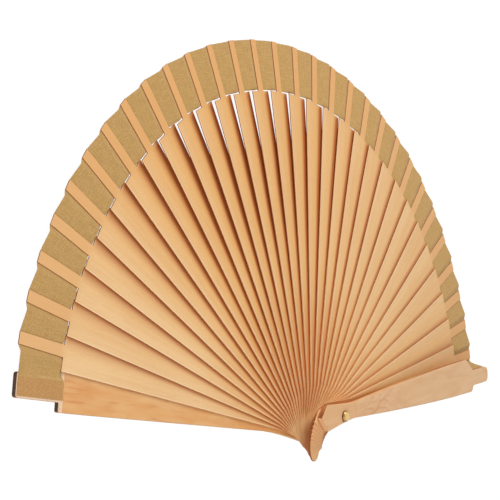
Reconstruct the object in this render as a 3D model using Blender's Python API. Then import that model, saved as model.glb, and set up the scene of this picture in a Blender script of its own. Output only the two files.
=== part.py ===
"""A folding hand fan: thin wooden sticks between two guards on one rivet, with a pleated cloth leaf.

The frame is in metres. The rivet's axis is the Z axis, and the open fan spreads evenly to both sides of +Y.
Every stick and guard is drawn flat, with x along it from the rivet and y to its left, and then bent.
"""

import math

import bmesh
import bpy
from mathutils import Matrix, Vector

# The spread of the open fan
STICK_COUNT = 30
STICK_SPACING = math.radians(5.49)
FRONT_GUARD_SPACING = math.radians(3.4)

# Thicknesses and clearances along the rivet
STICK_THICKNESS = 0.00079
STICK_TIP_THICKNESS = 0.00055
GUARD_THICKNESS = 0.00375
REST_GAP = 0.0003
PIN_CLEARANCE = 0.0001

# Lengths along a stick or guard, from the rivet
LENGTH = 0.2315
HEAD_END = -0.0277
GUARD_HEAD_END = -0.0255
HEAD_CORNER = -0.0185
NECK = 0.013
BEND = 0.016
STICK_SHOULDER = 0.1995
FRONT_GUARD_CORNER = 0.1915
FRONT_GUARD_SHOULDER = 0.2028
FRONT_GUARD_LENGTH = 0.230
REAR_GUARD_NECK = 0.026
REAR_GUARD_SHOULDER = 0.1980
REAR_GUARD_LENGTH = 0.2285
REBATE = 0.1948
REBATE_RUN = 0.0004

# Widths of the sticks, to each side of their middle line
STICK_OFFSET = 0.0022
HEAD_LEFT = 0.0070
HEAD_RIGHT = 0.0088
NECK_HALF_WIDTH = 0.0048
SHOULDER_LEFT = 0.00955
SHOULDER_RIGHT = 0.0108
STRIP_LEFT = 0.0020
STRIP_WIDTH = 0.0066
STRIP_SLANT = 0.0008
HEAD_FLARE = 1.4

# Widths of the guards
FRONT_HALF_WIDTH = 0.0117
FRONT_SWELL = 1.5
FRONT_TIP_LEFT = 0.0053
FRONT_TIP_RIGHT = 0.0054
FRONT_CORNER_RADIUS = 0.0045
FRONT_TIP_RADIUS = 0.0040
REAR_GUARD_OFFSET = 0.0030
REAR_HALF_WIDTH = 0.0112
REAR_SWELL = 1.3
REAR_NECK_HALF_WIDTH = 0.0088
REAR_HEAD_LEFT = 0.0130
REAR_TIP_LEFT = 0.0089
REAR_TIP_RIGHT = 0.0047
REAR_CORNER_RADIUS = 0.0012
REAR_TIP_RADIUS = 0.0016
REBATE_DEPTH = 0.0006
GUARD_EDGE_RADIUS = 0.0005

# How far the pieces stand back from the flat heads, as far out as the front guard's tip, and how the
# middle sticks tilt like louvres
STICK_SWEEP = 0.0260
FULL_SWEEP_STICK = 9
REAR_GUARD_SWEEP = 0.0235
FRONT_GUARD_SWEEP = 0.0162
LOUVRE_TILT = 0.14
LOUVRE_STICK = 12
LOUVRE_REACH = 9

# The rivet
PIN_RADIUS = 0.0015
DOME_RADIUS = 0.0034
DOME_HEIGHT = 0.0017
DOME_RIM = 0.0004
WASHER_RADIUS = 0.0032
WASHER_THICKNESS = 0.0005
PEENED_RADIUS = 0.0023
PEENED_HEIGHT = 0.0009
PEENED_FLAT_RADIUS = 0.0012
TURNED_SIDES = 32

# The cloth leaf
LEAF_THICKNESS = 0.0004
LEAF_INNER = 0.2003
LEAF_OUTER = 0.2312
FRONT_LEAF_OUTER = 0.2297
REAR_LEAF_INNER = 0.1962
REAR_LEAF_OUTER = 0.2282
REAR_LEAF_LEFT = 0.0077
REAR_LEAF_RIGHT = 0.0022
PLEAT_CREASE = 0.75
PLEAT_FOOT = 0.86
PLEAT_HEIGHT = 0.00175
PLEAT_FOOT_HEIGHT = 0.0009
LAST_PLEAT_START = 0.35
LAST_PLEAT_END = 0.70
LAST_PLEAT_DEPTH = 0.0035

# How finely the shapes are divided
HEAD_STEPS = 5
GUARD_STEPS = 7
BLADE_SECTIONS = 4
ARC_STEPS = 4
DOME_STEPS = 6
LARGEST_ARC_SHARE = 0.45
BEVEL_SEGMENTS = 2
BEVEL_FROM_ANGLE = math.radians(50)
SMOOTH_UP_TO_ANGLE = math.radians(35)
SAME_POINT = 1e-6

# What follows from the sizes above
SPREAD = STICK_COUNT * STICK_SPACING + FRONT_GUARD_SPACING
REAR_GUARD_ANGLE = math.pi / 2 + SPREAD / 2
FRONT_GUARD_ANGLE = REAR_GUARD_ANGLE - SPREAD
PITCH = STICK_THICKNESS + REST_GAP
WASHER_BACK = PEENED_HEIGHT + REST_GAP
REAR_GUARD_BACK = WASHER_BACK + WASHER_THICKNESS + REST_GAP
REAR_GUARD_FRONT = REAR_GUARD_BACK + GUARD_THICKNESS
FRONT_GUARD_BACK = REAR_GUARD_FRONT + STICK_COUNT * PITCH + REST_GAP
FRONT_GUARD_FRONT = FRONT_GUARD_BACK + GUARD_THICKNESS
HOLE_RADIUS = PIN_RADIUS + PIN_CLEARANCE
FRONT_GUARD = STICK_COUNT + 1

STICK_WOOD = ("stick wood", (0.700, 0.440, 0.220), 0.50, 0.0)
FRONT_WOOD = ("front guard wood", (0.720, 0.480, 0.290), 0.45, 0.0)
REAR_WOOD = ("rear guard wood", (0.680, 0.420, 0.210), 0.45, 0.0)
BRASS = ("brass", (0.750, 0.560, 0.250), 0.25, 1.0)
CLOTH = ("khaki cloth", (0.550, 0.380, 0.140), 0.90, 0.0)


def clear_scene():
    for thing in list(bpy.data.objects):
        bpy.data.objects.remove(thing, do_unlink=True)


def material(finish):
    name, colour, roughness, metallic = finish
    made = bpy.data.materials.get(name)
    if made is None:
        made = bpy.data.materials.new(name)
        made.use_nodes = True
        shader = made.node_tree.nodes["Principled BSDF"]
        shader.inputs["Base Color"].default_value = (*colour, 1.0)
        shader.inputs["Roughness"].default_value = roughness
        shader.inputs["Metallic"].default_value = metallic
        made.diffuse_color = (*colour, 1.0)
    return made


def finished(name, bm, finish):
    """A scene object from bm, with all faces turned outwards."""
    bmesh.ops.recalc_face_normals(bm, faces=bm.faces)
    mesh = bpy.data.meshes.new(name)
    bm.to_mesh(mesh)
    bm.free()
    made = bpy.data.objects.new(name, mesh)
    if finish is not None:
        mesh.materials.append(material(finish))
    bpy.context.scene.collection.objects.link(made)
    return made


def louvre(index):
    """The sideways tilt of a stick at its tip: none at the guards, most near the top of the open fan."""
    away = abs(index - LOUVRE_STICK) / LOUVRE_REACH
    return LOUVRE_TILT * math.cos(away * math.pi / 2) ** 2 if away < 1 else 0.0


def sweep(index):
    """How far a piece's tip stands back: the leaf holds both guards and the first sticks forward."""
    if index == FRONT_GUARD:
        return FRONT_GUARD_SWEEP
    share = min(index / FULL_SWEEP_STICK, 1.0)
    return REAR_GUARD_SWEEP + (STICK_SWEEP - REAR_GUARD_SWEEP) * share


def angle_of(index):
    """The direction of a piece in the open fan: 0 is the rear guard, and the sticks count from 1."""
    return FRONT_GUARD_ANGLE if index == FRONT_GUARD else REAR_GUARD_ANGLE - index * STICK_SPACING


def level_of(index):
    """The height of a piece's front face at the rivet."""
    return FRONT_GUARD_FRONT if index == FRONT_GUARD else REAR_GUARD_FRONT + index * PITCH


def thickness_at(index, x):
    if index in (0, FRONT_GUARD):
        return GUARD_THICKNESS
    along = min(max((x - BEND) / (LENGTH - BEND), 0.0), 1.0)
    return STICK_THICKNESS + (STICK_TIP_THICKNESS - STICK_THICKNESS) * along


def bent(index, x, y):
    """The height of a piece's front face over its flat head, at x along it and y to its left."""
    along = max((x - BEND) / (FRONT_GUARD_LENGTH - BEND), 0.0)
    return along * (louvre(index) * (y - STICK_OFFSET) - sweep(index))


def rebate(index, x):
    """How much lower the rear guard's front face is at its tip, where the cloth is glued on."""
    if index != 0:
        return 0.0
    return REBATE_DEPTH * min(max((x - REBATE) / REBATE_RUN, 0.0), 1.0)


def placement(index):
    return Matrix.Translation((0, 0, level_of(index))) @ Matrix.Rotation(angle_of(index), 4, "Z")


def head_edge(neck, neck_half_width, corner_half_width):
    """Points (x, half width) from the head's corner, where it is widest, to its neck."""
    edge = []
    for step in range(HEAD_STEPS + 1):
        share = 1 - step / HEAD_STEPS
        half = neck_half_width + (corner_half_width - neck_half_width) * share**HEAD_FLARE
        edge.append((neck + (HEAD_CORNER - neck) * share, half))
    return edge


def guard_edge(neck, neck_half_width, corner, corner_half_width, swell):
    """Points (x, half width) along a guard's blade, past its neck and up to its corner."""
    edge = []
    for step in range(1, GUARD_STEPS + 1):
        share = step / GUARD_STEPS
        wider = 1 - (1 - share) ** swell
        half = neck_half_width + (corner_half_width - neck_half_width) * wider
        edge.append((neck + (corner - neck) * share, half))
    return edge


def rounded(outline, corners):
    """The outline with arcs at some corners: corners is a dict from a point's number to its radius."""
    points = []
    for number, here in enumerate(outline):
        if number not in corners:
            points.append(here)
            continue
        before = Vector(outline[number - 1]) - Vector(here)
        after = Vector(outline[(number + 1) % len(outline)]) - Vector(here)
        half = before.angle(after) / 2
        shorter = min(before.length, after.length)
        radius = min(corners[number], LARGEST_ARC_SHARE * shorter * math.tan(half))
        middle = (before.normalized() + after.normalized()).normalized()
        centre = Vector(here) + middle * radius / math.sin(half)
        start = Vector(here) + before.normalized() * radius / math.tan(half) - centre
        finish = Vector(here) + after.normalized() * radius / math.tan(half) - centre
        turn = math.atan2(start.x * finish.y - start.y * finish.x, start.dot(finish))
        for step in range(ARC_STEPS + 1):
            arm = Matrix.Rotation(turn * step / ARC_STEPS, 2) @ start
            points.append(tuple(centre + arm))
    return points


def stick_outline():
    strip_end = STRIP_LEFT - STRIP_SLANT
    left = [(x, STICK_OFFSET + half) for x, half in head_edge(NECK, NECK_HALF_WIDTH, HEAD_LEFT)]
    right = [(x, STICK_OFFSET - half) for x, half in head_edge(NECK, NECK_HALF_WIDTH, HEAD_RIGHT)]
    left += [
        (STICK_SHOULDER, STICK_OFFSET + SHOULDER_LEFT),
        (STICK_SHOULDER, STICK_OFFSET + STRIP_LEFT),
        (LENGTH, STICK_OFFSET + strip_end),
    ]
    right += [
        (STICK_SHOULDER, STICK_OFFSET - SHOULDER_RIGHT),
        (STICK_SHOULDER, STICK_OFFSET + STRIP_LEFT - STRIP_WIDTH),
        (LENGTH, STICK_OFFSET + strip_end - STRIP_WIDTH),
    ]
    return [(HEAD_END, STICK_OFFSET)] + right + left[::-1]


def guard_outline(offset, left, right, corner_radius, tip_radius):
    """The outline of a guard whose left and right sides, (x, y) from head to tip, are as long."""
    outline = [(GUARD_HEAD_END, offset)] + right + left[::-1]
    tip = len(right)
    corners = {tip - 2: corner_radius, tip + 3: corner_radius, tip: tip_radius, tip + 1: tip_radius}
    return rounded(outline, corners)


def front_guard_outline():
    """The left shoulder slants in from further down. The right one lines up with the sticks' shoulders."""
    neck = (NECK, NECK_HALF_WIDTH)
    blade = guard_edge(*neck, FRONT_GUARD_CORNER, FRONT_HALF_WIDTH, FRONT_SWELL)
    left = [(x, STICK_OFFSET + half) for x, half in head_edge(*neck, HEAD_LEFT) + blade]
    right = [(x, STICK_OFFSET - half) for x, half in head_edge(*neck, HEAD_RIGHT) + blade]
    right[-1] = (STICK_SHOULDER, STICK_OFFSET - FRONT_HALF_WIDTH)
    left += [(FRONT_GUARD_SHOULDER, FRONT_TIP_LEFT), (FRONT_GUARD_LENGTH, FRONT_TIP_LEFT)]
    right += [(FRONT_GUARD_SHOULDER, -FRONT_TIP_RIGHT), (FRONT_GUARD_LENGTH, -FRONT_TIP_RIGHT)]
    return guard_outline(STICK_OFFSET, left, right, FRONT_CORNER_RADIUS, FRONT_TIP_RADIUS)


def rear_guard_outline():
    """Both shoulders are square, and the head is wider on the left."""
    neck = (REAR_GUARD_NECK, REAR_NECK_HALF_WIDTH)
    blade = guard_edge(*neck, REAR_GUARD_SHOULDER, REAR_HALF_WIDTH, REAR_SWELL)
    left = [(x, REAR_GUARD_OFFSET + half) for x, half in head_edge(*neck, REAR_HEAD_LEFT) + blade]
    right = [(x, REAR_GUARD_OFFSET - half) for x, half in head_edge(*neck, HEAD_RIGHT) + blade]
    left += [(REAR_GUARD_SHOULDER, REAR_TIP_LEFT), (REAR_GUARD_LENGTH, REAR_TIP_LEFT)]
    right += [(REAR_GUARD_SHOULDER, -REAR_TIP_RIGHT), (REAR_GUARD_LENGTH, -REAR_TIP_RIGHT)]
    return guard_outline(REAR_GUARD_OFFSET, left, right, REAR_CORNER_RADIUS, REAR_TIP_RADIUS)


def hole_cutter():
    """A cylinder through the whole stack, which cuts the rivet's hole in every stick and guard."""
    bm = bmesh.new()
    bmesh.ops.create_cone(
        bm,
        cap_ends=True,
        segments=TURNED_SIDES,
        radius1=HOLE_RADIUS,
        radius2=HOLE_RADIUS,
        depth=2 * FRONT_GUARD_FRONT,
    )
    cutter = finished("hole_cutter", bm, None)
    cutter.location.z = FRONT_GUARD_FRONT / 2
    cutter.hide_render = True
    cutter.display_type = "WIRE"
    return cutter


def plate(name, index, outline, stations, cutter, finish):
    """A stick or guard: its outline is cut across at the stations, bent, and given its thickness."""
    bm = bmesh.new()
    bm.faces.new([bm.verts.new((x, y, 0)) for x, y in outline])
    for x in stations:
        everything = bm.verts[:] + bm.edges[:] + bm.faces[:]
        bmesh.ops.bisect_plane(
            bm,
            geom=everything,
            dist=SAME_POINT,
            plane_co=(x, 0, 0),
            plane_no=(1, 0, 0),
        )
    if louvre(index):
        bmesh.ops.triangulate(bm, faces=bm.faces[:], quad_method="FIXED", ngon_method="EAR_CLIP")
    front = bm.verts[:]
    behind = bmesh.ops.extrude_face_region(bm, geom=bm.faces[:])["geom"]
    for vert in (item for item in behind if isinstance(item, bmesh.types.BMVert)):
        vert.co.z = -thickness_at(index, vert.co.x)
    for vert in front:
        vert.co.z = -rebate(index, vert.co.x)
    for vert in bm.verts:
        vert.co.z += bent(index, vert.co.x, vert.co.y)
    made = finished(name, bm, finish)
    made.matrix_world = placement(index)
    hole = made.modifiers.new("rivet hole", "BOOLEAN")
    hole.operation = "DIFFERENCE"
    hole.solver = "EXACT"
    hole.object = cutter
    return made


def soften_edges(guard):
    edges = guard.modifiers.new("softened edges", "BEVEL")
    edges.width = GUARD_EDGE_RADIUS
    edges.segments = BEVEL_SEGMENTS
    edges.limit_method = "ANGLE"
    edges.angle_limit = BEVEL_FROM_ANGLE


def make_guards(cutter):
    rear_stations = [BEND, REBATE, REBATE + REBATE_RUN]
    soften_edges(plate("rear_guard", 0, rear_guard_outline(), rear_stations, cutter, REAR_WOOD))
    soften_edges(plate("front_guard", FRONT_GUARD, front_guard_outline(), [BEND], cutter, FRONT_WOOD))


def make_sticks(cutter):
    outline = stick_outline()
    section = (STICK_SHOULDER - BEND) / BLADE_SECTIONS
    stations = [BEND + section * number for number in range(BLADE_SECTIONS)]
    for index in range(1, STICK_COUNT + 1):
        plate(f"stick_{index:02d}", index, outline, stations, cutter, STICK_WOOD)


def turned(name, profile, finish):
    """A closed solid from a profile of (radius, height), turned about the rivet's axis."""
    bm = bmesh.new()
    points = [bm.verts.new((radius, 0, height)) for radius, height in profile]
    edges = [bm.edges.new(pair) for pair in zip(points, points[1:] + points[:1])]
    if profile[0][0] == 0:
        bm.edges.remove(edges.pop())
    bmesh.ops.spin(
        bm,
        geom=points + edges,
        axis=(0, 0, 1),
        cent=(0, 0, 0),
        angle=2 * math.pi,
        steps=TURNED_SIDES,
    )
    bmesh.ops.remove_doubles(bm, verts=bm.verts[:], dist=SAME_POINT)
    made = finished(name, bm, finish)
    made.data.shade_smooth()
    made.data.set_sharp_from_angle(angle=SMOOTH_UP_TO_ANGLE)
    return made


def dome(radius, height, base, up, flat=0.0):
    """Profile points of a low dome, from its rim to its top, or to a flat of the given radius."""
    points = []
    for step in range(DOME_STEPS + 1):
        turn = math.pi / 2 * step / DOME_STEPS
        points.append((flat + (radius - flat) * math.cos(turn), base + up * height * math.sin(turn)))
    if flat == 0.0:
        points[-1] = (0.0, base + up * height)
    else:
        points.append((0.0, base + up * height))
    return points


def make_rivet():
    """One pin with a domed head in front, and its end spread over a washer behind."""
    seat = FRONT_GUARD_FRONT + REST_GAP
    peened = dome(PEENED_RADIUS, PEENED_HEIGHT, PEENED_HEIGHT, -1, PEENED_FLAT_RADIUS)
    head = dome(DOME_RADIUS, DOME_HEIGHT, seat + DOME_RIM, 1)
    shank = [(PIN_RADIUS, PEENED_HEIGHT), (PIN_RADIUS, seat), (DOME_RADIUS, seat)]
    turned("rivet", peened[::-1] + shank + head, BRASS)
    top = WASHER_BACK + WASHER_THICKNESS
    outer = [(WASHER_RADIUS, WASHER_BACK), (WASHER_RADIUS, top)]
    inner = [(HOLE_RADIUS, top), (HOLE_RADIUS, WASHER_BACK)]
    turned("rivet_washer", outer + inner, BRASS)


def strip_edges(index, x):
    """The left and right edge of the narrow outer strip of a stick, or of the front guard's tip."""
    if index == FRONT_GUARD:
        return FRONT_TIP_LEFT, -FRONT_TIP_RIGHT
    share = (x - STICK_SHOULDER) / (LENGTH - STICK_SHOULDER)
    left = STICK_OFFSET + STRIP_LEFT - STRIP_SLANT * share
    return left, left - STRIP_WIDTH


def on_strip(index, x, y):
    """A point of the cloth's front face on a tip: before the rear guard, behind all other pieces."""
    height = bent(index, x, y)
    if index == 0:
        height += REST_GAP + LEAF_THICKNESS - rebate(index, x)
    else:
        height -= thickness_at(index, x) + REST_GAP
    return placement(index) @ Vector((x, y, height))


def pleat(index):
    """The (share of the way, height) of the folds between a strip and the next one."""
    if index == STICK_COUNT:
        return (LAST_PLEAT_START, -LAST_PLEAT_DEPTH), (LAST_PLEAT_END, -LAST_PLEAT_DEPTH)
    return (PLEAT_CREASE, PLEAT_HEIGHT), (PLEAT_FOOT, PLEAT_FOOT_HEIGHT)


def leaf_row(x, rear_x):
    """Points of the cloth's front face along one edge of the leaf, with its own x on the rear guard."""
    row = [
        on_strip(0, rear_x, REAR_LEAF_LEFT),
        on_strip(0, rear_x, -REAR_LEAF_RIGHT),
        on_strip(0, min(x, REAR_LEAF_OUTER), -REAR_TIP_RIGHT),
    ]
    for index in range(1, FRONT_GUARD + 1):
        reach = min(x, FRONT_LEAF_OUTER) if index == FRONT_GUARD else x
        left, right = (on_strip(index, reach, y) for y in strip_edges(index, reach))
        start = row[-1]
        for share, height in pleat(index - 1):
            row.append(start + (left - start) * share + Vector((0, 0, height)))
        row += [left, right]
    return row


def make_leaf():
    """The pleated cloth, one band from guard to guard with a mountain crease between each two strips."""
    bm = bmesh.new()
    drop = Vector((0, 0, LEAF_THICKNESS))
    rows = [leaf_row(LEAF_INNER, REAR_LEAF_INNER), leaf_row(LEAF_OUTER, REAR_LEAF_OUTER)]
    front = [[bm.verts.new(point) for point in row] for row in rows]
    back = [[bm.verts.new(point - drop) for point in row] for row in rows]
    count = len(rows[0])
    for column in range(count - 1):
        near, far = column, column + 1
        bm.faces.new((front[0][near], front[0][far], front[1][far], front[1][near]))
        bm.faces.new((back[0][near], back[1][near], back[1][far], back[0][far]))
        for row in (0, 1):
            bm.faces.new((front[row][near], back[row][near], back[row][far], front[row][far]))
    for column in (0, count - 1):
        bm.faces.new((front[0][column], front[1][column], back[1][column], back[0][column]))
    finished("leaf", bm, CLOTH)


def main():
    clear_scene()
    cutter = hole_cutter()
    make_guards(cutter)
    make_sticks(cutter)
    make_rivet()
    make_leaf()


main()
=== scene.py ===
"""The looks of the folding fan: wooden sticks and guards, a brass rivet and a pleated cloth leaf.

Each wooden piece has a frame of its own: x runs along it from the rivet's axis, y across it to the
left, and z towards the viewer from its front face at the rivet. Pieces are counted from the rear
guard, 0, through the sticks to the front guard. Lengths are in metres and colours are linear.
"""

import math

import bmesh
import bpy
from mathutils import Matrix, Vector


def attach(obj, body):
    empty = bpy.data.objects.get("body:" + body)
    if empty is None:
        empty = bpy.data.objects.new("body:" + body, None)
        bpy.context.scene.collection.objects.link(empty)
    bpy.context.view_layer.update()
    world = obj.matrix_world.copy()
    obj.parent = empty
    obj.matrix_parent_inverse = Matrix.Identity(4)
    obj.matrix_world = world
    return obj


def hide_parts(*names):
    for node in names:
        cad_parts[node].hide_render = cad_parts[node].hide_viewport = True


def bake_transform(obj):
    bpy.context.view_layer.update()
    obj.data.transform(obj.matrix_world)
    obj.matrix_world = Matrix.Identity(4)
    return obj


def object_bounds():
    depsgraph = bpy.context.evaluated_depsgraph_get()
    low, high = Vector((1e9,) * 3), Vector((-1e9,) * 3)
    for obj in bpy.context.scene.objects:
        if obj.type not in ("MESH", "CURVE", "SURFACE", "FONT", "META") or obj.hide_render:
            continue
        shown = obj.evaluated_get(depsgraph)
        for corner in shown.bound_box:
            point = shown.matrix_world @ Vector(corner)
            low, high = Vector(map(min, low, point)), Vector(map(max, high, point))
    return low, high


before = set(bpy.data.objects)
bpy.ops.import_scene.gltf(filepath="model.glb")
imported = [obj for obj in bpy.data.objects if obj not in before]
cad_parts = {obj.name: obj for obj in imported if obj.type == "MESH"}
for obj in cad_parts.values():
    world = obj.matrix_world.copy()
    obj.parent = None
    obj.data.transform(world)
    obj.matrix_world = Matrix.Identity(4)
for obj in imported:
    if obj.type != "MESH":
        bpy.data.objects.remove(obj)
cad_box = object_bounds()

# The sticks and guards: how they stand round the rivet and in the stack
STICK_COUNT = 30
REAR_GUARD = 0
FRONT_GUARD = STICK_COUNT + 1
STICK_SPACING = math.radians(5.49)
FRONT_GUARD_SPACING = math.radians(3.4)
SPREAD = STICK_COUNT * STICK_SPACING + FRONT_GUARD_SPACING
REAR_GUARD_ANGLE = math.pi / 2 + SPREAD / 2
FRONT_GUARD_ANGLE = REAR_GUARD_ANGLE - SPREAD
STICK_THICKNESS = 0.00079
STICK_TIP_THICKNESS = 0.00055
GUARD_THICKNESS = 0.00375
REST_GAP = 0.0003
PITCH = STICK_THICKNESS + REST_GAP
REAR_GUARD_FRONT = 0.00575
FRONT_GUARD_BACK = REAR_GUARD_FRONT + STICK_COUNT * PITCH + REST_GAP
FRONT_GUARD_FRONT = FRONT_GUARD_BACK + GUARD_THICKNESS

# Their outlines
LENGTH = 0.2315
FRONT_GUARD_LENGTH = 0.230
HEAD_CORNER = -0.0185
NECK = 0.013
BEND = 0.016
STICK_SHOULDER = 0.1995
STICK_OFFSET = 0.0022
NECK_HALF_WIDTH = 0.0048
SHOULDER_LEFT = 0.00955
STRIP_LEFT = 0.0020
STRIP_WIDTH = 0.0066
STRIP_SLANT = 0.0008
FRONT_TIP_LEFT = 0.0053
FRONT_TIP_RIGHT = 0.0054
REAR_TIP_RIGHT = 0.0047
REBATE = 0.1948
REBATE_RUN = 0.0004
REBATE_DEPTH = 0.0006

# How far their tips are swept back, and the tilt of the sticks in the middle of the fan
STICK_SWEEP = 0.0260
FULL_SWEEP_STICK = 9
REAR_GUARD_SWEEP = 0.0235
FRONT_GUARD_SWEEP = 0.0162
LOUVRE_TILT = 0.14
LOUVRE_STICK = 12
LOUVRE_REACH = 9

# The rivet
PIN_RADIUS = 0.0015
DOME_RADIUS = 0.0034
DOME_HEIGHT = 0.0017
DOME_RIM = 0.0004
PEENED_RADIUS = 0.0023
PEENED_HEIGHT = 0.0009
PEENED_FLAT_RADIUS = 0.0012
TURNED_SIDES = 72
DOME_STEPS = 14

# The leaf: where its panels start and end along the sticks and on the rear guard
LEAF_INNER = 0.2003
LEAF_OUTER = 0.2312
FRONT_LEAF_OUTER = 0.2297
FIRST_LEAF_INNER = 0.1980
LEFT_LEAF_INNER = 0.1999
RIGHT_LEAF_INNER = 0.1991
LAST_LEFT_PANEL = 7
FIRST_RIGHT_PANEL = 20
REAR_LEAF_INNER = 0.1957
REAR_LEAF_OUTER = 0.2282
REAR_LEAF_LEFT = 0.0077
REAR_LEAF_RIGHT = 0.0022
CLOTH_THICKNESS = 0.00022
CLOTH_GAP = 0.00004

# The pleats: where their folds lie, as a share of the way from strip to strip, how high they
# stand, and how much each corner of a panel's cross section is rounded
PLEAT_FOLDS = ((0.75, 0.00175), (0.86, 0.0009))
PLEAT_ROUNDING = (0.0012, 0.0007, 0.0006, 0.0008)
LAST_PLEAT_FOLDS = ((0.35, -0.0035), (0.70, -0.0035))
LAST_PLEAT_ROUNDING = (0.0012, 0.004, 0.004, 0.0012)
REAR_EDGE_ROUNDING = 0.001
ROUNDING_STEPS = 5
ROUNDING_LIMIT = 0.45
SHOULDER_CLEARANCE = 0.0002
CREASE_RISE = 0.0012
CLOTH_ROWS = 9
ROW_CROWDING = 1.7
WEAVE_STEP = 0.1

# The eased edges of the sticks, and how much closer their heads lie in the stack than the solids'
# do, in full up to the start and not at all from the end on
FINE_EDGE = 0.00012
HEAD_EDGE_SHARE = 0.15
HEAD_CLOSER = 0.00029
HEAD_CLOSER_START = 0.006
HEAD_CLOSER_END = 0.060

# The left side of the sticks, (x, y), which runs on past the rivet and is wider there than the
# solids' waist. FULL_SIDE gives the share of the widening that each stick has, (stick, share).
HEAD_LEFT_END = (-0.0230, 0.0078)
LEFT_SIDE = (
    (-0.0185, 0.0104), (-0.0140, 0.0128), (-0.0100, 0.0134), (-0.0050, 0.0130),
    (0.0, 0.0124), (0.0060, 0.0120), (0.0160, 0.0118), (0.0360, 0.0118),
    (0.0700, 0.0118), (0.1100, 0.0118), (0.1550, 0.0118), (0.1995, 0.01175),
)
FULL_SIDE = ((1, 0.95), (4, 1.0), (12, 1.15), (15, 1.0), (20, 0.60), (24, 0.40), (30, 0.35))
LEFT_SIDE_FROM = 0.004

# How deep and how wide (as a share of the visible width) the painted shade on the covered side of
# each stick is, and how pale the rest of it is: (stick, depth, width, paleness)
PAINTED_SHADE_AND_PALENESS = (
    (1, 0.40, 0.46, 0.60), (4, 0.55, 0.46, 0.40), (8, 0.78, 0.44, 0.05), (12, 0.85, 0.36, 0.05),
    (17, 1.00, 0.34, 0.10), (20, 0.70, 0.30, 0.30), (23, 0.36, 0.28, 0.42),
    (27, 0.20, 0.25, 0.40), (29, 0.30, 0.45, 0.25), (30, 0.40, 0.70, 0.15),
)
STICK_MARKS = ("past_next", "from_left", "covered_depth", "covered_width", "paleness")

# Tolerances for joining and matching the points of a mesh, the angles that count as an edge, and
# how strongly large faces lead the shading
JOIN_DISTANCE = 2e-6
TURNED_JOIN_DISTANCE = 1e-6
CUT_DISTANCE = 1e-7
MATCH_DISTANCE = 1e-4
COLUMN_DIGITS = 5
FLAT_ANGLE = math.radians(0.4)
EASED_ANGLE = math.radians(40)
GUARD_SHARP_ANGLE = math.radians(50)
RIVET_SHARP_ANGLE = math.radians(35)
CLOTH_SHARP_ANGLE = math.radians(60)
SHADING_WEIGHT = 60

# The camera stands where the photograph was taken from, with these three directions
SENSOR_WIDTH = 36.0
LENS = 124.13
CLIP_START = 0.01
CLIP_END = 100.0
CAMERA_PLACE = (-0.8988, 0.0380, 0.5754)
CAMERA_RIGHT = (0.556322, 0.002721, 0.83096)
CAMERA_UP = (-0.051063, 0.998218, 0.03091)
CAMERA_BACK = (-0.829397, -0.059622, 0.55547)

# The round lamps, (name, place, power), which all face the middle of the fan
LAMPS = (
    ("above", (0.0, 1.2, 0.9), 16.0),
    ("below_left", (-0.9, -0.7, 0.8), 9.4),
    ("below", (0.2, -1.2, 0.8), 2.2),
)
LAMP_SIZE = 1.2
LAMP_TARGET = (0.0, 0.10, 0.01)

# The light of the room, the white background, and the floor just under the fan
ROOM_LIGHT = 0.30
BACKGROUND = 1.0
FLOOR_WHITE = 1.08
FLOOR_WHITE_SHARE = 0.90
FLOOR_COLOUR = (0.82, 0.82, 0.82)
FLOOR_DROP = 0.0006
FLOOR_SIZE = 12.0

# The strength of waxed wood's reflection, where 0.5 is a varnish's
WAX_SHEEN = 0.12

# Roughness, where it follows the grain as (grain from, to, roughness from, to)
STICK_ROUGHNESS = (0.3, 0.7, 0.44, 0.56)
GUARD_ROUGHNESS = (0.3, 0.7, 0.42, 0.54)
BRASS_ROUGHNESS = (0.3, 0.7, 0.16, 0.26)
CUT_ROUGHNESS = 0.6
CLOTH_ROUGHNESS = 0.9
CLOTH_SHEEN = 0.08
CLOTH_SHEEN_ROUGHNESS = 0.5

# The relief of each surface: (strength, height)
STICK_RELIEF = (0.22, 0.00004)
CUT_RELIEF = (0.2, 0.00004)
FRONT_GUARD_RELIEF = (0.6, 0.00025)
REAR_GUARD_RELIEF = (0.22, 0.00005)
BRASS_RELIEF = (0.1, 0.00002)
WEAVE_RELIEF = (0.4, 0.00006)

# How finely each pattern repeats along the axes: those of the piece on wood, those of the whole
# fan on its sanded end, and the two directions of the weave on cloth
FINE_GRAIN = (40, 2600, 900)
BROAD_GRAIN = (6, 330, 120)
PORE_GRAIN = (420, 2400, 900)
CLOUD_GRAIN = (16, 60, 60)
SIDE_GRAIN = (60, 900, 1500)
END_GRAIN = (900, 1600, 1600)
END_RINGS = (200, 200, 900)
SANDED_GRAIN = (900, 900, 900)
SANDED_RINGS = (260, 260, 150)
SANDED_RINGS_SHIFT = (3.0, 4.5, 0.0)
GUARD_GRAIN = (30, 1900, 700)
GUARD_FLOW = (14, 110, 110)
GUARD_CLOUDS = (26, 70, 70)
FLAME_GRAIN = (60, 170, 1)
STREAK_GRAIN = (45, 420, 1)
RAGGED_GRAIN = (900, 600, 1)
SLUBS_ACROSS = (110, 1900, 1)
SLUBS_ALONG = (1900, 110, 1)
SPECKLES = (1300, 1300, 1)
THREADS = 500.0
BRASS_GRAIN = 2500.0
FIBROUS = {"detail": 3.0, "roughness": 0.65}
OWN_SHIFT = 3.0

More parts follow.
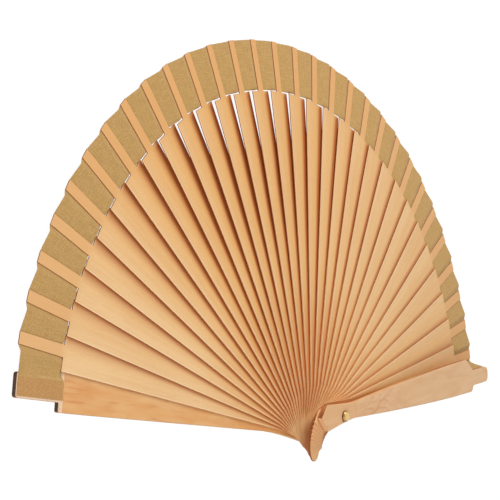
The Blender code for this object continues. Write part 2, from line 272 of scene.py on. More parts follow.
# Where the tones of a stick come in, as (from, to, strength): by the grain, which runs from 0 to
# 1, by the share of the visible width, or by the distance from the rivet or an edge. A rise is in
# full from the second value on, a fade up to the first, and a ramp has a strength at either end.
ROSY_RISE = (0.30, 0.95)
CLOUD_RISE = (0.35, 0.7, 0.18)
BAND_RISE = (0.40, 0.72, 0.18)
FIBRE_RISE = (0.50, 0.78, 0.26)
PORE_RISE = (0.52, 0.72, 0.26)
OWN_TINT_RISE = (0.0, 1.0, 0.10)
HUB_FADE = (0.005, 0.100, 0.90)
HUB_BROWN_RISE = (0.50, 0.85)
NECK_FADE = (-0.011, 0.012, 0.66)
HEAD_TIP_FADE = (-0.0200, -0.0160, 0.95)
STRIP_RISE = (STICK_SHOULDER - 0.004, STICK_SHOULDER + 0.004, 0.55)
# Painted shade on the covered side, and painted shadow just beside the next stick's edge
PAINTED_SHADE_WIDER_FADE = (0.015, 0.095, 0.14)
PAINTED_SHADE_RISE = (-0.014, 0.016)
PAINTED_SHADE_FADE = (STICK_SHOULDER - 0.003, STICK_SHOULDER + 0.002)
PAINTED_SHADE_WARM_FADE = (0.20, 1.0)
PAINTED_SHADE_DARK_FADE = (0.0, 0.62)
PAINTED_SHADE_DARK_RAMP = (0.020, 0.100, 0.88, 0.70)
PAINTED_SHADE_WARM_STRENGTH = 0.75
PAINTED_SHADE_WAVE = 0.10
PAINTED_SHADOW_FADE = (0.0004, 0.0028, 0.62)
PAINTED_SHADOW_RISE = (-0.014, -0.004)
# A painted highlight along each stick's left edge
PAINTED_HIGHLIGHT_FADE = (0.0003, 0.0009, 0.55)
PAINTED_HIGHLIGHT_RISE = (0.0, 0.03)
SHADE_LEAST = 0.35
LEAST_SPAN = 0.002

# The same for the sawn sides and the end grain
SIDE_RISE = (0.3, 0.7)
SIDE_SHOULDER_DARK_RISE = (0.050, 0.150, 0.85)
SIDE_HEAD_FADE = (-0.019, -0.002, 0.85)
END_RISE = (0.3, 0.7)
END_RINGS_RISE = (0.45, 0.65, 0.35)
END_LEFT_RISE = (0.0030, 0.0090, 0.8)
SANDED_RINGS_RISE = (0.2, 0.9)
SANDED_PORE_RISE = (0.4, 0.7, 0.20)

# The same for the guards
GUARD_DEEP_RISE = (0.35, 0.68)
GUARD_STREAK_RISE = (0.50, 0.72, 0.40)
GUARD_FIBRE_RISE = (0.50, 0.80, 0.22)
FRONT_FIGURE = 1.2
REAR_FIGURE = 0.7
FLAME_PLACE = 0.048
FLAME_FADE = (0.0, 0.040)
FLAME_RISE = (0.42, 0.66)
FLAME_STRENGTH = 0.55
FRONT_HEAD_FADE = (0.004, 0.030, 0.5)
ARC_RISE = (0.0134, 0.0142)
ARC_START_RISE = (0.0, 0.004)
# How strong the painted shade along the step is
ARC_SHADE_STRENGTH = 1.6
ARC_FIBRE_SHARE = 0.15
BARE_RISE = (REBATE + 0.0004, REBATE + 0.0010)
BARE_RAG = 0.0012
BARE_STAIN_RISE = (0.55, 0.7, 0.5)
REAR_STAIN_RISE = (0.55, 0.72)
REAR_STAIN_START_RISE = (0.05, 0.12)
REAR_STAIN_STRENGTH = 0.45

# The same for the brass and the cloth
BRASS_RISE = (0.4, 0.7)
# A painted dark reflection towards the rim of the dome
PAINTED_DARK_REFLECTION_RISE = (DOME_RADIUS * 0.62, DOME_RADIUS * 0.96)
PAINTED_DARK_REFLECTION_STRENGTH = 0.85
SLUB_RISE = (0.80, 1.25)
GLUED_FADE = (REAR_LEAF_RIGHT - 0.0002, REAR_LEAF_RIGHT + 0.0002)
GLUED_RAG = 0.0006
GLUED_STRENGTH = 0.75
SPECK_RISE = (0.52, 0.66, 0.50)
WEAVE_FADE = (0.0, 0.8, 0.34)

# The share of a material's deep colour that its finest marks keep
DARK_PORE_SHARE = 0.7
GUARD_FIBRE_SHARE = 0.8
WEAVE_GAP_SHARE = 0.50

# Colours of the sticks' broad faces
ROSY = (0.790, 0.480, 0.220)
GOLDEN = (0.770, 0.415, 0.140)
PALE = (0.86, 0.61, 0.34)
CLOUD = (0.68, 0.350, 0.135)
BAND = (0.64, 0.315, 0.115)
FIBRE = (0.52, 0.235, 0.080)
PORE = (0.88, 0.63, 0.38)
OWN_TINT = (0.70, 0.36, 0.13)
HUB_TAN = (0.620, 0.255, 0.058)
HUB_BROWN = (0.500, 0.145, 0.032)
NECK_BROWN = (0.400, 0.115, 0.030)
HEAD_TIP_TAN = (0.880, 0.510, 0.245)
STRIP_TAN = (0.700, 0.360, 0.140)
# Painted shade on the covered side, and painted red shadow beside the next stick's edge
PAINTED_SHADE_WARM = (0.500, 0.150, 0.036)
PAINTED_SHADE_DARK = (0.260, 0.055, 0.014)
PAINTED_SHADOW_RED = (0.520, 0.130, 0.028)
# A painted highlight along each stick's left edge
PAINTED_HIGHLIGHT = (0.92, 0.66, 0.40)

# Colours of the sawn sides and of the end grain: light, dark, and what the left side has
SIDE_DEEP = (0.68, 0.355, 0.145)
SIDE_LIGHT = (0.84, 0.510, 0.245)
SIDE_SHOULDER_DARK = (0.360, 0.110, 0.035)
SIDE_HEAD_DARK = (0.380, 0.112, 0.030)
DARK_END_COLOURS = (0.300, 0.090, 0.028), (0.180, 0.048, 0.015)
GREY_END_COLOURS = (0.120, 0.075, 0.052), (0.070, 0.042, 0.030)
HEAD_END_COLOURS = (0.400, 0.125, 0.040), (0.300, 0.080, 0.024), (0.620, 0.235, 0.085)
SANDED_LIGHT = (0.79, 0.445, 0.215)
SANDED_RING = (0.68, 0.335, 0.145)
SANDED_PORE = (0.55, 0.250, 0.110)

# Colours of the guards: light, deep and streak, and then the marks on each
FRONT_GUARD_COLOURS = (0.755, 0.480, 0.268), (0.710, 0.425, 0.220), (0.660, 0.355, 0.180)
FRONT_FLAME = (0.60, 0.245, 0.115)
FRONT_HEAD_GOLD = (0.70, 0.390, 0.185)
# Painted shade along the step round the rivet
FRONT_STEP_SHADE = (0.42, 0.200, 0.090)
REAR_GUARD_COLOURS = (0.760, 0.435, 0.190), (0.720, 0.365, 0.135), (0.640, 0.265, 0.090)
REAR_STAIN = (0.60, 0.190, 0.075)
BARE_WOOD = (0.80, 0.580, 0.400)
BARE_STAIN = (0.62, 0.270, 0.120)

# Colours of the brass, and of the cloth: light, deep and glued down
BRASS_LIGHT = (0.80, 0.560, 0.230)
BRASS_DEEP = (0.70, 0.450, 0.160)
# The painted dark reflection at the rim of the dome
PAINTED_DARK_REFLECTION = (0.170, 0.080, 0.025)
KHAKI_COLOURS = (0.600, 0.355, 0.110), (0.490, 0.272, 0.075), (0.540, 0.245, 0.072)
KHAKI_SPECK = (0.74, 0.520, 0.260)


def between(table, place):
    """The values of a table at a place in its first column, in between by straight lines."""
    place = min(max(place, table[0][0]), table[-1][0])
    for (near, *first), (far, *second) in zip(table, table[1:]):
        if place <= far:
            share = (place - near) / (far - near)
            return [a + (b - a) * share for a, b in zip(first, second)]


# The form of the solid pieces
def louvre(index):
    """The tilt of a stick's outer end about its own length."""
    away = abs(index - LOUVRE_STICK) / LOUVRE_REACH
    return LOUVRE_TILT * math.cos(away * math.pi / 2) ** 2 if away < 1 else 0.0


def sweep(index):
    """How far a piece's tip is swept back."""
    if index == FRONT_GUARD:
        return FRONT_GUARD_SWEEP
    share = min(index / FULL_SWEEP_STICK, 1.0)
    return REAR_GUARD_SWEEP + (STICK_SWEEP - REAR_GUARD_SWEEP) * share


def angle_of(index):
    return FRONT_GUARD_ANGLE if index == FRONT_GUARD else REAR_GUARD_ANGLE - index * STICK_SPACING


def level_of(index):
    """The height of a piece's front face at the rivet."""
    return FRONT_GUARD_FRONT if index == FRONT_GUARD else REAR_GUARD_FRONT + index * PITCH


def thickness_at(index, x):
    if index in (REAR_GUARD, FRONT_GUARD):
        return GUARD_THICKNESS
    along = min(max((x - BEND) / (LENGTH - BEND), 0.0), 1.0)
    return STICK_THICKNESS + (STICK_TIP_THICKNESS - STICK_THICKNESS) * along


def bent(index, x, y):
    """The height of a piece's front face at a point, over its height at the rivet."""
    along = max((x - BEND) / (FRONT_GUARD_LENGTH - BEND), 0.0)
    return along * (louvre(index) * (y - STICK_OFFSET) - sweep(index))


def rebate(x):
    """The depth of the rebate in the rear guard that carries the cloth."""
    return REBATE_DEPTH * min(max((x - REBATE) / REBATE_RUN, 0.0), 1.0)


def placement(index):
    """The matrix of a piece's own frame."""
    return Matrix.Translation((0, 0, level_of(index))) @ Matrix.Rotation(angle_of(index), 4, "Z")


def body_of(index):
    if index == REAR_GUARD:
        return "rear_guard_body"
    return "front_guard_body" if index == FRONT_GUARD else f"stick_{index:02d}_body"


def wood_name(index):
    if index == REAR_GUARD:
        return "rear_guard_wood"
    return "front_guard_wood" if index == FRONT_GUARD else f"stick_wood_{index:02d}"


# Short ways to make objects, meshes and materials
def linked(name, data):
    """A new object in the scene."""
    made = bpy.data.objects.new(name, data)
    bpy.context.scene.collection.objects.link(made)
    return made


def mesh_from(bm, name):
    """A new mesh that takes over the points and faces of bm."""
    mesh = bpy.data.meshes.new(name)
    bm.to_mesh(mesh)
    bm.free()
    return mesh


class Nodes:
    """A short way to write a material's nodes."""

    def __init__(self, tree):
        self.tree = tree
        tree.nodes.clear()

    def add(self, kind, sockets=None, **settings):
        node = self.tree.nodes.new(kind)
        for key, value in settings.items():
            setattr(node, key, value)
        for key, value in (sockets or {}).items():
            self.feed(node.inputs[key], value)
        return node

    def feed(self, socket, value):
        if isinstance(value, bpy.types.NodeSocket):
            self.tree.links.new(value, socket)
        else:
            socket.default_value = value

    def feed_colour(self, socket, value):
        self.feed(socket, value if isinstance(value, bpy.types.NodeSocket) else (*value, 1.0))

    def math(self, operation, first, second=0.0, clamp=False):
        node = self.add("ShaderNodeMath", operation=operation, use_clamp=clamp)
        self.feed(node.inputs[0], first)
        self.feed(node.inputs[1], second)
        return node.outputs[0]

    def plus(self, first, second):
        return self.math("ADD", first, second)

    def minus(self, first, second):
        return self.math("SUBTRACT", first, second)

    def times(self, first, second, clamp=False):
        return self.math("MULTIPLY", first, second, clamp)

    def mix(self, share, first, second):
        """Two colours mixed: the first where share is 0, the second where it is 1."""
        node = self.add("ShaderNodeMix", data_type="RGBA", blend_type="MIX")
        self.feed(node.inputs[0], share)
        self.feed_colour(node.inputs[6], first)
        self.feed_colour(node.inputs[7], second)
        return node.outputs[2]

    def ramp(self, value, low, high, out_low=0.0, out_high=1.0):
        """A smooth step from out_low, where value is low or less, to out_high."""
        node = self.add("ShaderNodeMapRange", interpolation_type="SMOOTHSTEP")
        for socket, number in zip(node.inputs, (value, low, high, out_low, out_high)):
            self.feed(socket, number)
        return node.outputs[0]

    def rise(self, value, low, high, top=1.0):
        return self.ramp(value, low, high, 0.0, top)

    def fade(self, value, low, high, top=1.0):
        return self.ramp(value, low, high, top, 0.0)

    def noise(self, vector, scale=1.0, detail=2.0, roughness=0.5, distortion=0.0):
        node = self.add("ShaderNodeTexNoise", {
            "Vector": vector,
            "Scale": scale,
            "Detail": detail,
            "Roughness": roughness,
            "Distortion": distortion,
        })
        return node.outputs["Fac"]

    def stretched(self, vector, scale, offset=(0, 0, 0)):
        sockets = {"Vector": vector, "Scale": scale, "Location": offset}
        return self.add("ShaderNodeMapping", sockets).outputs[0]

    def grain(self, vector, scale, **settings):
        """Noise with its own scale along each axis."""
        return self.noise(self.stretched(vector, scale), **settings)

    def axes(self, vector):
        """The x and y of a vector."""
        split = self.add("ShaderNodeSeparateXYZ", {"Vector": vector})
        return split.outputs["X"], split.outputs["Y"]

    def radius(self, x, y):
        squares = self.plus(self.times(x, x), self.times(y, y))
        return self.math("SQRT", squares)

    def mark(self, name):
        """A value that the mesh holds for each point."""
        return self.add("ShaderNodeAttribute", attribute_name=name).outputs["Fac"]

    def own_point(self):
        return self.add("ShaderNodeTexCoord").outputs["Object"]

    def own_chance(self):
        """A random number that each piece has."""
        return self.add("ShaderNodeObjectInfo").outputs["Random"]

    def relief(self, height, strength, distance):
        sockets = {"Strength": strength, "Distance": distance, "Height": height}
        return self.add("ShaderNodeBump", sockets).outputs[0]

    def surface(self, **sockets):
        """Ends the material in a surface with these sockets."""
        sockets = {name.replace("_", " "): value for name, value in sockets.items()}
        shader = self.add("ShaderNodeBsdfPrincipled", sockets)
        self.finish(shader, "ShaderNodeOutputMaterial")

    def wood(self, tone, rough, relief):
        """Ends the material in waxed wood: a soft sheen that is weaker than a varnish's."""
        self.surface(Base_Color=tone, Roughness=rough, Specular_IOR_Level=WAX_SHEEN, Normal=relief)

    def finish(self, shader, kind):
        out = self.add(kind)
        self.tree.links.new(shader.outputs[0], out.inputs["Surface"])

    def seen_directly(self):
        """1 for rays from the camera, and for those that a mirror or glass sends on."""
        rays = self.add("ShaderNodeLightPath").outputs
        seen = self.math("MAXIMUM", rays["Is Camera Ray"], rays["Is Glossy Ray"])
        return self.math("MAXIMUM", seen, rays["Is Transmission Ray"])

    def mixed_shader(self, share, first, second):
        node = self.add("ShaderNodeMixShader")
        for socket, value in zip(node.inputs, (share, first.outputs[0], second.outputs[0])):
            self.feed(socket, value)
        return node


def new_material(name):
    made = bpy.data.materials.new(name)
    made.use_nodes = True
    return made, Nodes(made.node_tree)


def darker(colour, share):
    return [value * share for value in colour]


def local_point(n):
    """The point in the piece's own frame, and the same moved by the piece's random number."""
    where = n.own_point()
    chance = n.own_chance()
    shift = n.add("ShaderNodeCombineXYZ", {"X": n.times(chance, OWN_SHIFT), "Z": chance})
    moved = n.add("ShaderNodeVectorMath", operation="ADD")
    n.feed(moved.inputs[0], where)
    n.feed(moved.inputs[1], shift.outputs[0])
    return where, moved.outputs[0]


# Camera, background and light
def make_camera():
    data = bpy.data.cameras.new("camera")
    data.sensor_width = SENSOR_WIDTH
    data.lens = LENS
    data.clip_start = CLIP_START
    data.clip_end = CLIP_END
    camera = linked("camera", data)
    directions = [Vector(way) for way in (CAMERA_RIGHT, CAMERA_UP, CAMERA_BACK)]
    turned_by = Matrix(directions).transposed().to_4x4()
    camera.matrix_world = Matrix.Translation(CAMERA_PLACE) @ turned_by
    bpy.context.scene.camera = camera


def make_lights():
    for name, place, power in LAMPS:
        data = bpy.data.lights.new(name, "AREA")
        data.shape = "DISK"
        data.size = LAMP_SIZE
        data.energy = power
        lamp = linked(name, data)
        lamp.location = place
        towards = Vector(LAMP_TARGET) - Vector(place)
        lamp.rotation_euler = towards.to_track_quat("-Z", "Y").to_euler()


def make_floor():
    """A pale floor that the camera sees as white, with the fan's shadow on it."""
    bm = bmesh.new()
    bmesh.ops.create_grid(bm, x_segments=1, y_segments=1, size=FLOOR_SIZE)
    mesh = mesh_from(bm, "floor")
    floor = linked("floor", mesh)
    floor.location.z = cad_box[0].z - FLOOR_DROP
    made, n = new_material("pale_floor")
    matt = n.add("ShaderNodeBsdfDiffuse", {"Color": (*FLOOR_COLOUR, 1.0)})
    white = n.add("ShaderNodeEmission", {"Color": (1, 1, 1, 1), "Strength": FLOOR_WHITE})
    share = n.times(n.seen_directly(), FLOOR_WHITE_SHARE)
    n.finish(n.mixed_shader(share, matt, white), "ShaderNodeOutputMaterial")
    mesh.materials.append(made)


def make_world():
    world = bpy.data.worlds.new("studio")
    world.use_nodes = True
    bpy.context.scene.world = world
    n = Nodes(world.node_tree)
    light, white = [
        n.add("ShaderNodeBackground", {"Color": (1, 1, 1, 1), "Strength": strength})
        for strength in (ROOM_LIGHT, BACKGROUND)
    ]
    n.finish(n.mixed_shader(n.seen_directly(), light, white), "ShaderNodeOutputWorld")


# Materials of the wood
def stick_wood():
    """Satin wood, painted with shade: rosy by its own left edge and golden beside the next stick.

    It has darker and redder painted shade where the next stick covers it, and a painted
    highlight along its left edge. It is darker and redder towards the rivet, the more so where
    that painted shade is deep.
    """
    made, n = new_material("stick_wood")
    where, point = local_point(n)
    x = n.axes(where)[0]
    mark = {name: n.mark(name) for name in STICK_MARKS}
    fine = n.grain(point, FINE_GRAIN, **FIBROUS)
    broad = n.grain(point, BROAD_GRAIN)
    pores = n.grain(point, PORE_GRAIN, roughness=0.7)
    cloudy = n.grain(point, CLOUD_GRAIN)

    # The wood, with painted shade across the part of the stick that shows: 0 beside the next one,
    # 1 at the left
    span = n.math("MAXIMUM", n.times(x, math.sin(STICK_SPACING)), LEAST_SPAN)
    across = n.math("DIVIDE", mark["past_next"], span)
    tone = n.mix(n.rise(across, *ROSY_RISE), GOLDEN, ROSY)
    tone = n.mix(mark["paleness"], tone, PALE)
    tone = n.mix(n.rise(cloudy, *CLOUD_RISE), tone, CLOUD)
    tone = n.mix(n.rise(broad, *BAND_RISE), tone, BAND)
    tone = n.mix(n.rise(fine, *FIBRE_RISE), tone, FIBRE)
    tone = n.mix(n.rise(pores, *PORE_RISE), tone, PORE)
    tone = n.mix(n.rise(n.own_chance(), *OWN_TINT_RISE), tone, OWN_TINT)

    # Along the stick: redder towards the rivet, brown at the neck, pale at the end of the head
    shade = n.plus(n.times(mark["covered_depth"], 1.0 - SHADE_LEAST), SHADE_LEAST)
    hub = n.times(n.fade(x, *HUB_FADE), shade)
    brown = n.rise(mark["covered_depth"], *HUB_BROWN_RISE)
    tone = n.mix(hub, tone, n.mix(brown, HUB_TAN, HUB_BROWN))
    tone = n.mix(n.fade(x, *NECK_FADE), tone, NECK_BROWN)
    tone = n.mix(n.fade(x, *HEAD_TIP_FADE), tone, HEAD_TIP_TAN)
    tone = n.mix(n.rise(x, *STRIP_RISE), tone, STRIP_TAN)

    # Painted shade on the covered side, from the next stick's edge on
    wavy = n.times(n.minus(cloudy, 0.5), PAINTED_SHADE_WAVE)
    width = n.plus(mark["covered_width"], n.fade(x, *PAINTED_SHADE_WIDER_FADE))
    reach = n.math("DIVIDE", n.plus(across, wavy), width)
    depth = n.times(mark["covered_depth"], n.rise(x, *PAINTED_SHADE_RISE))
    depth = n.times(depth, n.fade(x, *PAINTED_SHADE_FADE))
    warm = n.times(n.fade(reach, *PAINTED_SHADE_WARM_FADE), depth)
    dark = n.times(n.fade(reach, *PAINTED_SHADE_DARK_FADE), depth)
    tone = n.mix(n.times(warm, PAINTED_SHADE_WARM_STRENGTH), tone, PAINTED_SHADE_WARM)
    tone = n.mix(n.times(dark, n.ramp(x, *PAINTED_SHADE_DARK_RAMP)), tone, PAINTED_SHADE_DARK)
    # A painted red shadow just beside the next stick's edge
    beside = n.times(n.fade(mark["past_next"], *PAINTED_SHADOW_FADE), n.rise(x, *PAINTED_SHADOW_RISE))
    tone = n.mix(n.times(beside, shade), tone, PAINTED_SHADOW_RED)

    # A painted highlight along the left edge
    painted_highlight = n.times(n.fade(mark["from_left"], *PAINTED_HIGHLIGHT_FADE), n.rise(x, *PAINTED_HIGHLIGHT_RISE))
    tone = n.mix(painted_highlight, tone, PAINTED_HIGHLIGHT)
    n.wood(tone, n.ramp(fine, *STICK_ROUGHNESS), n.relief(fine, *STICK_RELIEF))
    return made


def side_wood():
    """The long sawn sides of the sticks, darker towards the shoulder and at the head."""
    made, n = new_material("stick_side_wood")
    where, point = local_point(n)
    x = n.axes(where)[0]
    fine = n.grain(point, SIDE_GRAIN)
    tone = n.mix(n.rise(fine, *SIDE_RISE), SIDE_DEEP, SIDE_LIGHT)
    tone = n.mix(n.rise(x, *SIDE_SHOULDER_DARK_RISE), tone, SIDE_SHOULDER_DARK)
    tone = n.mix(n.fade(x, *SIDE_HEAD_FADE), tone, SIDE_HEAD_DARK)
    n.wood(tone, CUT_ROUGHNESS, n.relief(fine, *CUT_RELIEF))
    return made


def dark_end_grain(name, light, dark, left=None):
    """Dark end grain, with pores along the piece, and the colour left towards its left side."""
    made, n = new_material(name)
    where, point = local_point(n)
    fine = n.grain(point, END_GRAIN)
    rings = n.grain(point, END_RINGS, detail=1.0)
    tone = n.mix(n.rise(fine, *END_RISE), light, dark)
    tone = n.mix(n.rise(rings, *END_RINGS_RISE), tone, darker(dark, DARK_PORE_SHARE))
    if left:
        y = n.axes(where)[1]
        tone = n.mix(n.rise(y, *END_LEFT_RISE), tone, left)
    n.wood(tone, CUT_ROUGHNESS, n.relief(fine, *CUT_RELIEF))
    return made


def pale_end_wood():
    """Sanded end grain of the stacked heads, with growth rings that run on from stick to stick."""
    made, n = new_material("pale_end_wood")
    where = n.add("ShaderNodeNewGeometry").outputs["Position"]
    fine = n.grain(where, SANDED_GRAIN)
    growth = n.stretched(where, SANDED_RINGS, SANDED_RINGS_SHIFT)
    sockets = {"Vector": growth, "Scale": 1.0, "Distortion": 1.2, "Detail": 1.0}
    settings = {"wave_type": "RINGS", "rings_direction": "Z", "wave_profile": "SIN"}
    rings = n.add("ShaderNodeTexWave", sockets, **settings).outputs["Fac"]
    tone = n.mix(n.rise(rings, *SANDED_RINGS_RISE), SANDED_LIGHT, SANDED_RING)
    tone = n.mix(n.rise(fine, *SANDED_PORE_RISE), tone, SANDED_PORE)
    n.surface(Base_Color=tone, Roughness=CUT_ROUGHNESS)
    return made


def guard_wood(name, light, deep, streak, figured):
    """Satin guard wood with a soft figure and fine streaks along it; gives its nodes for marks."""
    made, n = new_material(name)
    where, point = local_point(n)
    fine = n.grain(point, GUARD_GRAIN, **FIBROUS)
    flow = n.grain(point, GUARD_FLOW, distortion=figured)
    cloud = n.grain(point, GUARD_CLOUDS, distortion=figured)
    tone = n.mix(n.rise(flow, *GUARD_DEEP_RISE), light, deep)
    tone = n.mix(n.rise(cloud, *GUARD_STREAK_RISE), tone, streak)
    tone = n.mix(n.rise(fine, *GUARD_FIBRE_RISE), tone, darker(deep, GUARD_FIBRE_SHARE))
    return made, n, where, fine, tone


def front_guard_wood():
    """Pinkish beige, redder near the neck, with a shallow step in an arc round the rivet.

    A thin line of painted shade runs along the step.
    """
    made, n, where, fine, tone = guard_wood("front_guard_face", *FRONT_GUARD_COLOURS, FRONT_FIGURE)
    x, y = n.axes(where)
    flame = n.grain(where, FLAME_GRAIN, distortion=2.0)
    near_neck = n.fade(n.math("ABSOLUTE", n.minus(x, FLAME_PLACE)), *FLAME_FADE)
    red = n.times(n.rise(flame, *FLAME_RISE), near_neck)
    tone = n.mix(n.times(red, FLAME_STRENGTH), tone, FRONT_FLAME)
    tone = n.mix(n.fade(x, *FRONT_HEAD_FADE), tone, FRONT_HEAD_GOLD)
    # A thin line of painted shade along the step; the relief makes the step itself
    arc = n.rise(n.radius(x, y), *ARC_RISE)
    line = n.times(arc, n.minus(1.0, arc))
    line = n.times(line, n.rise(x, *ARC_START_RISE, ARC_SHADE_STRENGTH), clamp=True)
    tone = n.mix(line, tone, FRONT_STEP_SHADE)
    step = n.times(arc, n.rise(x, *ARC_START_RISE))
    height = n.plus(n.times(fine, ARC_FIBRE_SHARE), step)
    n.wood(tone, n.ramp(fine, *GUARD_ROUGHNESS), n.relief(height, *FRONT_GUARD_RELIEF))
    return made


def rear_guard_wood():
    """Orange tan with reddish streaks, and pale bare wood in the rebate that carries the cloth."""
    made, n, where, fine, tone = guard_wood("rear_guard_face", *REAR_GUARD_COLOURS, REAR_FIGURE)
    x = n.axes(where)[0]
    rag = n.times(n.minus(fine, 0.5), BARE_RAG)
    bare = n.rise(n.plus(x, rag), *BARE_RISE)
    red = n.grain(where, STREAK_GRAIN)
    stain = n.times(n.rise(red, *REAR_STAIN_RISE), n.rise(x, *REAR_STAIN_START_RISE))
    tone = n.mix(n.times(stain, REAR_STAIN_STRENGTH), tone, REAR_STAIN)
    tone = n.mix(bare, tone, BARE_WOOD)
    ragged = n.grain(where, RAGGED_GRAIN)
    tone = n.mix(n.times(bare, n.rise(ragged, *BARE_STAIN_RISE)), tone, BARE_STAIN)
    n.wood(tone, n.ramp(fine, *GUARD_ROUGHNESS), n.relief(fine, *REAR_GUARD_RELIEF))
    return made


# Materials of the rivet and the leaf
def brass():
    """Polished brass, with a dark reflection painted towards the rim of the dome."""
    made, n = new_material("polished_brass")
    where = n.own_point()
    fine = n.noise(where, scale=BRASS_GRAIN, detail=3.0)
    rim = n.rise(n.radius(*n.axes(where)), *PAINTED_DARK_REFLECTION_RISE)
    tone = n.mix(n.rise(fine, *BRASS_RISE), BRASS_LIGHT, BRASS_DEEP)
    # A painted dark reflection towards the rim
    tone = n.mix(n.times(rim, PAINTED_DARK_REFLECTION_STRENGTH), tone, PAINTED_DARK_REFLECTION)
    n.surface(
        Base_Color=tone,
        Metallic=1.0,
        Roughness=n.ramp(fine, *BRASS_ROUGHNESS),
        Normal=n.relief(fine, *BRASS_RELIEF),
    )
    return made


def threads(n, where, direction):
    """The threads of the cloth that lie side by side in one direction."""
    sockets = {"Vector": where, "Scale": THREADS, "Distortion": 0.8, "Detail Scale": 0.3}
    settings = {"wave_type": "BANDS", "bands_direction": direction, "wave_profile": "SIN"}
    return n.add("ShaderNodeTexWave", sockets, **settings).outputs["Fac"]


def cloth(name, light, deep, glued):
    """Fine plain weave with slubs. It is darker where it is glued down on the rear guard."""
    made, n = new_material(name)
    where = n.add("ShaderNodeUVMap", uv_map="weave").outputs[0]
    weave = n.times(threads(n, where, "X"), threads(n, where, "Y"))
    slub_across = n.grain(where, SLUBS_ACROSS)
    slub_along = n.grain(where, SLUBS_ALONG)
    speckle = n.grain(where, SPECKLES, detail=1.0)
    tone = n.mix(n.rise(n.plus(slub_across, slub_along), *SLUB_RISE), light, deep)
    rag = n.times(n.minus(slub_along, 0.5), GLUED_RAG)
    held = n.fade(n.plus(n.mark("on_guard"), rag), *GLUED_FADE)
    tone = n.mix(n.times(held, GLUED_STRENGTH), tone, glued)
    tone = n.mix(n.rise(speckle, *SPECK_RISE), tone, KHAKI_SPECK)
    tone = n.mix(n.fade(weave, *WEAVE_FADE), tone, darker(deep, WEAVE_GAP_SHARE))
    n.surface(
        Base_Color=tone,
        Roughness=CLOTH_ROUGHNESS,
        Sheen_Weight=CLOTH_SHEEN,
        Sheen_Roughness=CLOTH_SHEEN_ROUGHNESS,
        Normal=n.relief(weave, *WEAVE_RELIEF),
    )
    return made


# Wooden pieces: their materials by number, and how a face's normal and place tell which it has
FACE, SIDE, DARK_END, PALE_END, HEAD_END = range(5)
FACE_UPRIGHT = 0.3
HEAD_END_REACH = 0.0015
HEAD_LEFTWARD = 0.2
HEAD_BACKWARD = -0.65
PALE_NECK_SHARE = 0.6
END_FORWARD = 0.7


def surface_of(face):
    """The material of a face: broad face, long side, stained outer end, or an end of the head."""
    normal = face.normal
    if abs(normal.z) >= FACE_UPRIGHT:
        return FACE
    middle = face.calc_center_median()
    if middle.x < HEAD_CORNER + HEAD_END_REACH:
        if normal.y > HEAD_LEFTWARD:
            return HEAD_END if normal.x < HEAD_BACKWARD else SIDE
        return PALE_END
    if middle.x < NECK * PALE_NECK_SHARE and normal.y < 0:
        return PALE_END
    if normal.x > END_FORWARD:
        return DARK_END
    return SIDE


def close_head(bm, index):
    """Lowers the back of a stick's head onto the one behind, so the stack's end looks whole."""
    for vert in bm.verts:
        front = bent(index, vert.co.x, vert.co.y)
        if vert.co.z - front < -0.5 * thickness_at(index, vert.co.x):
            past_start = max(vert.co.x - HEAD_CLOSER_START, 0.0)
            away = past_start / (HEAD_CLOSER_END - HEAD_CLOSER_START)
            vert.co.z -= HEAD_CLOSER * max(1.0 - away, 0.0)


def solid_left(x):
    """The left side of the solid's blade."""
    share = (x - NECK) / (STICK_SHOULDER - NECK)
    return STICK_OFFSET + NECK_HALF_WIDTH + (SHOULDER_LEFT - NECK_HALF_WIDTH) * share


def left_side(index, x):
    """The left side of a stick after fill_left, past the neck."""
    full = between(FULL_SIDE, min(index, STICK_COUNT))[0]
    return solid_left(x) + full * (between(LEFT_SIDE, x)[0] - solid_left(x))


def fill_left(bm, index):
    """Widens the left side of a stick from its head to its shoulder."""
    for x, _ in LEFT_SIDE[1:-1]:
        bmesh.ops.bisect_plane(
            bm,
            geom=bm.verts[:] + bm.edges[:] + bm.faces[:],
            dist=CUT_DISTANCE,
            plane_co=(x, 0, 0),
            plane_no=(1, 0, 0),
        )
    outer = {}
    for vert in bm.verts:
        column = round(vert.co.x, COLUMN_DIGITS)
        outer[column] = max(outer.get(column, -1.0), vert.co.y)
    full = between(FULL_SIDE, index)[0]
    for vert in bm.verts:
        x, y = vert.co.xy
        outermost = y > max(outer[round(x, COLUMN_DIGITS)] - MATCH_DISTANCE, LEFT_SIDE_FROM)
        if abs(x - HEAD_CORNER) < MATCH_DISTANCE and y > STICK_OFFSET:
            vert.co.xy = HEAD_LEFT_END
        elif outermost and HEAD_CORNER < x < STICK_SHOULDER - MATCH_DISTANCE:
            grow = full * max(between(LEFT_SIDE, x)[0] - y, 0.0)
            vert.co.z += bent(index, x, y + grow) - bent(index, x, y)
            vert.co.y += grow


def mark_stick(mesh, index):
    """Writes on each point where it lies across the open fan, and the tones of the stick."""
    depth, width, paleness = between(PAINTED_SHADE_AND_PALENESS, index)
    marks = {name: [] for name in STICK_MARKS}
    for vert in mesh.vertices:
        x, y = vert.co.xy
        next_left = left_side(index + 1, x) * math.cos(STICK_SPACING) - x * math.sin(STICK_SPACING)
        values = (y - next_left, left_side(index, x) - y, depth, width, paleness)
        for name, value in zip(STICK_MARKS, values):
            marks[name].append(value)
    for name, values in marks.items():
        mesh.attributes.new(name, "FLOAT", "POINT").data.foreach_set("value", values)


